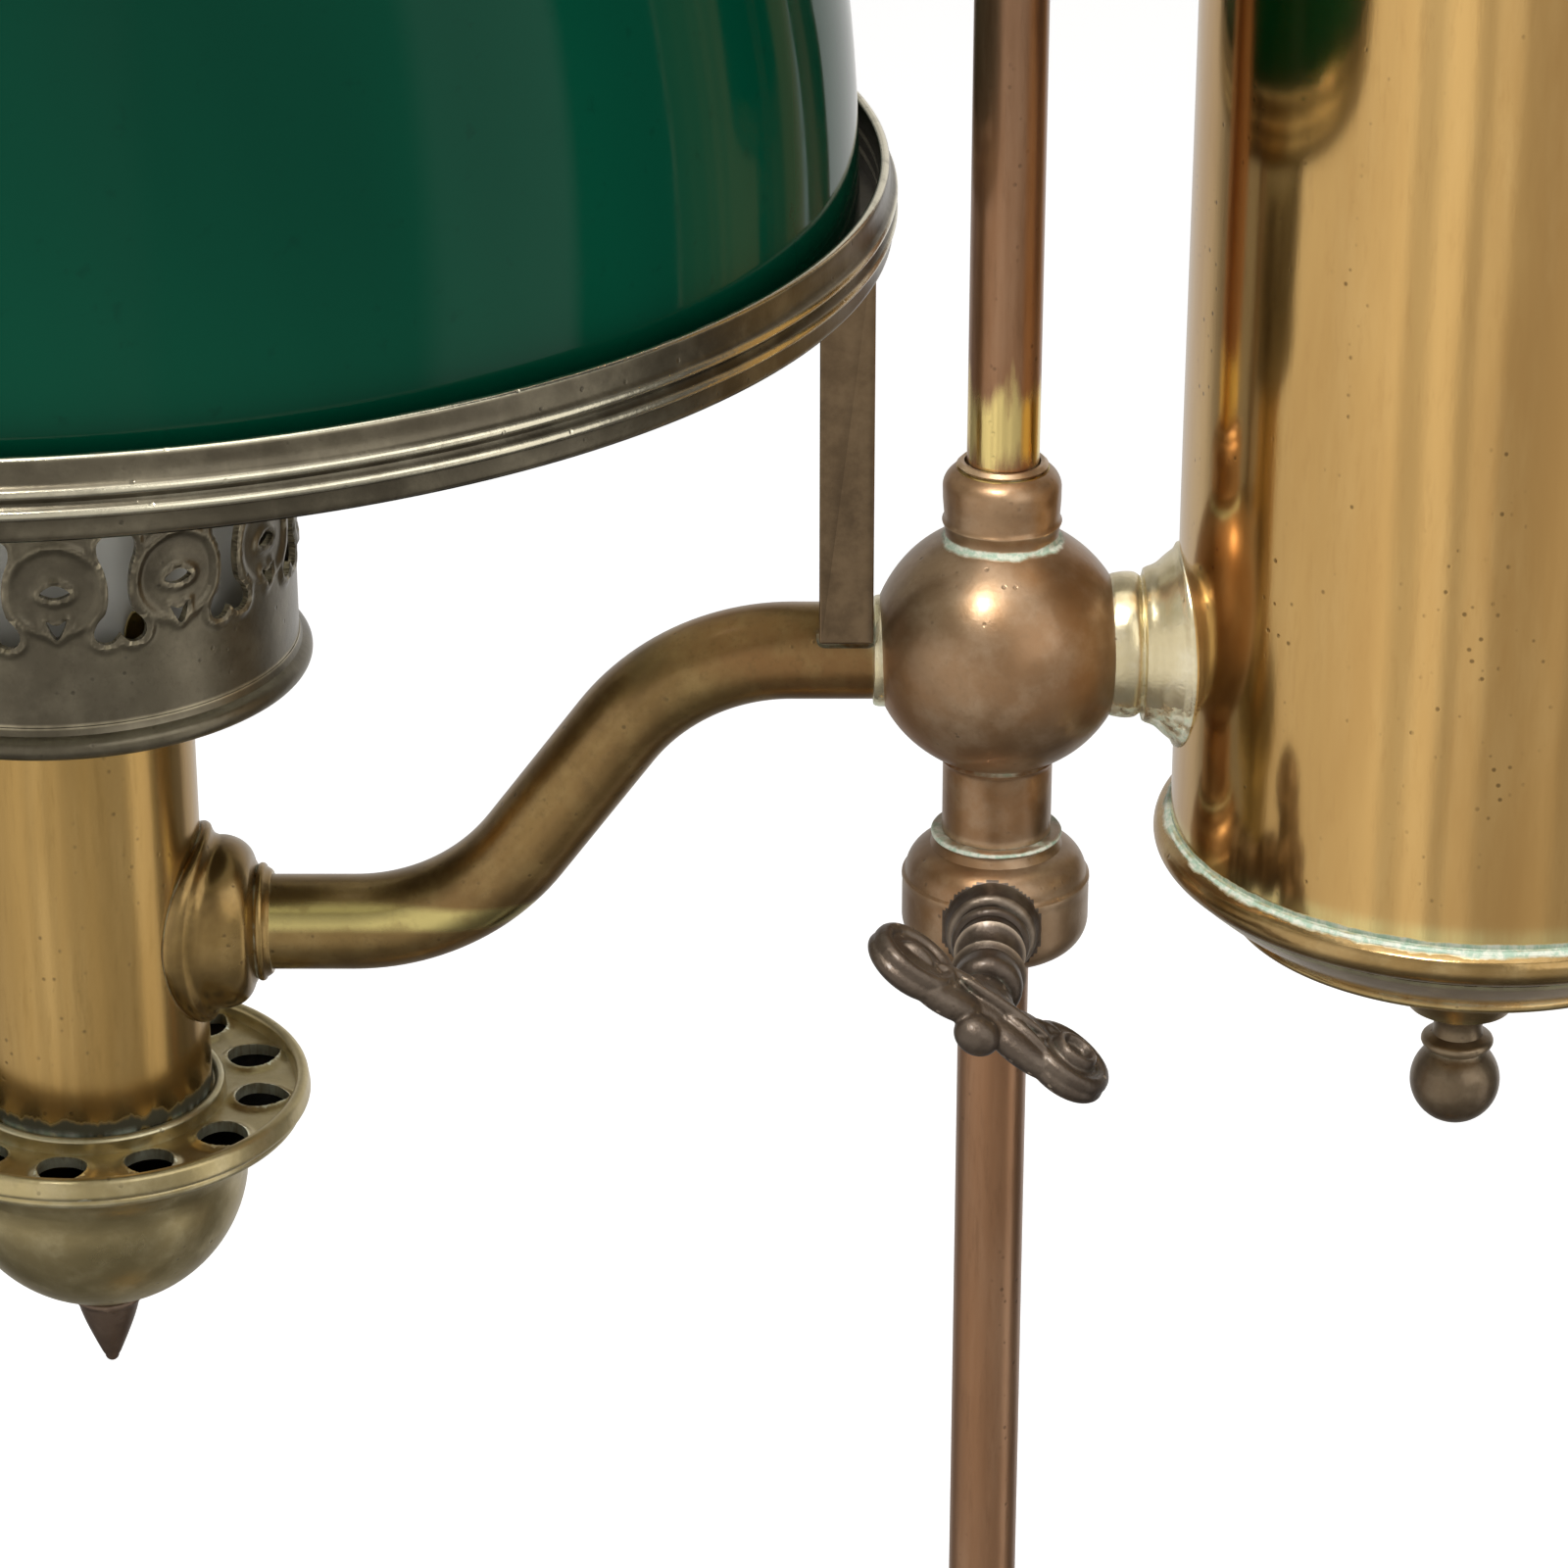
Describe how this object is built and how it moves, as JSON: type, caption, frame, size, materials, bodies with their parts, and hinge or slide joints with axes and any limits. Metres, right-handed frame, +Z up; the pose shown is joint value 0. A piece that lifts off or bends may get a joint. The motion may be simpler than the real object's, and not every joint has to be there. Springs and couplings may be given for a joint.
{
  "type": "pharmacy floor lamp",
  "caption": "Floor-standing adjustable student lamp: weighted base, upright rod, clamped hub with S-arm, burner, green glass shade and tank.",
  "frame": {"origin": "centre of the base's underside, on the axis of the upright rod", "axes": "+Z up along the rod; -X towards the burner and shade, +X towards the tank; -Y is the front, where the thumbscrew is"},
  "size_m": [0.4202, 0.282, 1.416],
  "materials": {
    "felt": "matte green felt",
    "cast_iron": "raw casting, oiled",
    "steel": "plain turned steel",
    "rod_copper": "aged copper-brown brass, soft gloss",
    "base_brass": "aged brass, soft gloss",
    "hub_bronze": "brown patina, satin",
    "bare_brass": "bare machined brass",
    "arm_brass": "golden brown patina, satin",
    "pale_brass": "worn brass with pale green salts",
    "flange_brass": "aged brass with pale green salts in its grooves",
    "burner_brass": "bright old brass, streaked",
    "dark_bronze": "dark grey-brown patina, satin, bright beads",
    "cup_brass": "olive-brown patina, satin, pale worn lips",
    "key_bronze": "dark rough-cast brown, bright worn ridges",
    "cotton": "woven cotton",
    "green_glass": "opaque green cased glass, glossy",
    "clear_glass": "clear",
    "tank_brass": "old polished brass, streaked and stained",
    "finial_bronze": "brown patina, satin",
    "tinned_brass": "tinned brass sheet"
  },
  "bodies": {
    "stand": {"base_felt": "felt", "base_weight": "cast_iron", "base_nut": "steel", "base_washer": "steel", "base_shell": "base_brass", "base_socket": "base_brass", "rod": "rod_copper", "rod_finial": "rod_copper"},
    "carriage": {"rod_sleeve": "bare_brass"},
    "head": {"hub_core": "bare_brass", "hub_ball": "hub_bronze", "hub_collar": "hub_bronze", "hub_neck": "hub_bronze", "clamp_nut": "hub_bronze", "arm_ferrule": "pale_brass", "arm_tube": "arm_brass", "burner_flange": "flange_brass", "burner_tube": "burner_brass", "burner_floor": "bare_brass", "draft_tube": "bare_brass", "flame_spreader": "bare_brass", "shade_ring": "dark_bronze", "shade_strap": "hub_bronze", "tank_flange": "pale_brass", "tank_shell": "tank_brass", "tank_rim": "pale_brass", "tank_pan": "tank_brass", "tank_finial": "finial_bronze"},
    "shoe": {"clamp_shoe": "bare_brass"},
    "key": {"key_screw": "key_bronze", "key_wing": "key_bronze"},
    "gallery": {"gallery_dish": "dark_bronze", "gallery_band": "dark_bronze", "chimney_clips": "bare_brass", "wick_driver": "bare_brass"},
    "wick_lift": {"wick_carrier": "bare_brass", "wick": "cotton"},
    "chimney": {"chimney_glass": "clear_glass"},
    "shade": {"shade_glass": "green_glass"},
    "drip_cup": {"air_plate": "cup_brass", "drip_bowl": "cup_brass", "drip_tip": "hub_bronze"},
    "font": {"font_shell": "tinned_brass", "font_neck": "tinned_brass", "font_lid": "tank_brass", "font_knob": "finial_bronze"},
    "valve": {"valve_pin": "tinned_brass"}
  },
  "joints": [
    {"name": "head_slide", "type": "slide", "parent": "stand", "child": "carriage", "axis": [0, 0, 1], "range_m": [-0.6, 0.25]},
    {"name": "head_swivel", "type": "hinge", "parent": "carriage", "child": "head", "pos_m": [0, 0, 1.08], "axis": [0, 0, 1], "continuous": true},
    {"name": "shoe_slide", "type": "slide", "parent": "head", "child": "shoe", "axis": [-0.0732, -0.9973, 0], "range_m": [0, 0.00251]},
    {"name": "key_turn", "type": "hinge", "parent": "shoe", "child": "key", "pos_m": [0, 0, 1.0363], "axis": [-0.0732, -0.9973, 0], "range_deg": [0, 720]},
    {"name": "gallery_turn", "type": "hinge", "parent": "head", "child": "gallery", "pos_m": [-0.148, 0, 1.08], "axis": [0, 0, 1], "range_deg": [-360, 180]},
    {"name": "wick_slide", "type": "slide", "parent": "head", "child": "wick_lift", "axis": [0, 0, 1], "range_m": [-0.0121, 0.0061]},
    {"name": "chimney_lift", "type": "slide", "parent": "gallery", "child": "chimney", "axis": [0, 0, 1], "range_m": [0, 0.28]},
    {"name": "shade_lift", "type": "slide", "parent": "head", "child": "shade", "axis": [0, 0, 1], "range_m": [0, 0.22]},
    {"name": "cup_pull", "type": "slide", "parent": "head", "child": "drip_cup", "axis": [0, 0, -1], "range_m": [0, 0.05]},
    {"name": "font_lift", "type": "slide", "parent": "head", "child": "font", "axis": [0, 0, 1], "range_m": [0, 0.22]},
    {"name": "valve_lift", "type": "slide", "parent": "font", "child": "valve", "axis": [0, 0, 1], "range_m": [0, 0.006]}
  ],
  "couplings": [
    {"joint": "shoe_slide", "follows": "key_turn", "m_per_rad": 0.00019894},
    {"joint": "wick_slide", "follows": "gallery_turn", "m_per_rad": 0.0019099}
  ]
}
